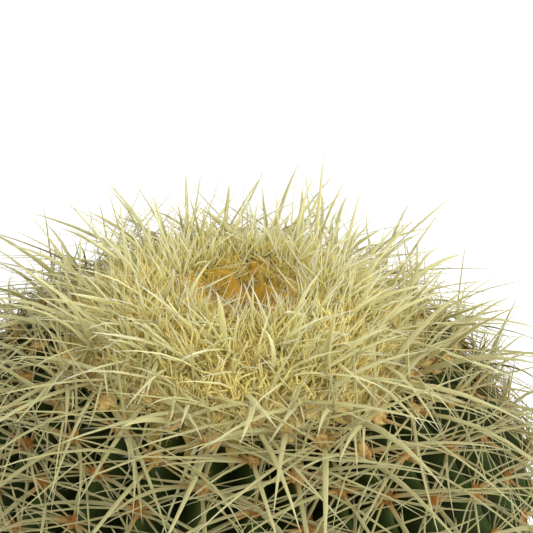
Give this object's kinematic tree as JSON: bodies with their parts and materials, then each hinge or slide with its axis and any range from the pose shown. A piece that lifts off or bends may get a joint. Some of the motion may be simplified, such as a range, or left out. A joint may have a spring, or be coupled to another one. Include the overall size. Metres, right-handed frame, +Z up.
{
  "type": "potted round cactus",
  "caption": "Round ribbed cactus with long straw-coloured spines and a woolly golden crown, rooted in soil in a plain clay pot.",
  "frame": {"origin": "centre of the pot's base, on the surface it stands on", "axes": "+Z up along the pot's and the plant's shared axis; the picture is taken from the -Y side and above; +X to the viewer's right"},
  "size_m": [0.4007, 0.4002, 0.4533],
  "materials": {
    "clay": "matte",
    "soil": "matte",
    "cactus_skin": "satin",
    "crown_wool": "matte"
  },
  "bodies": {
    "root": {"pot": "clay", "soil": "soil", "stem": "cactus_skin", "crown_wool": "crown_wool"}
  },
  "joints": []
}
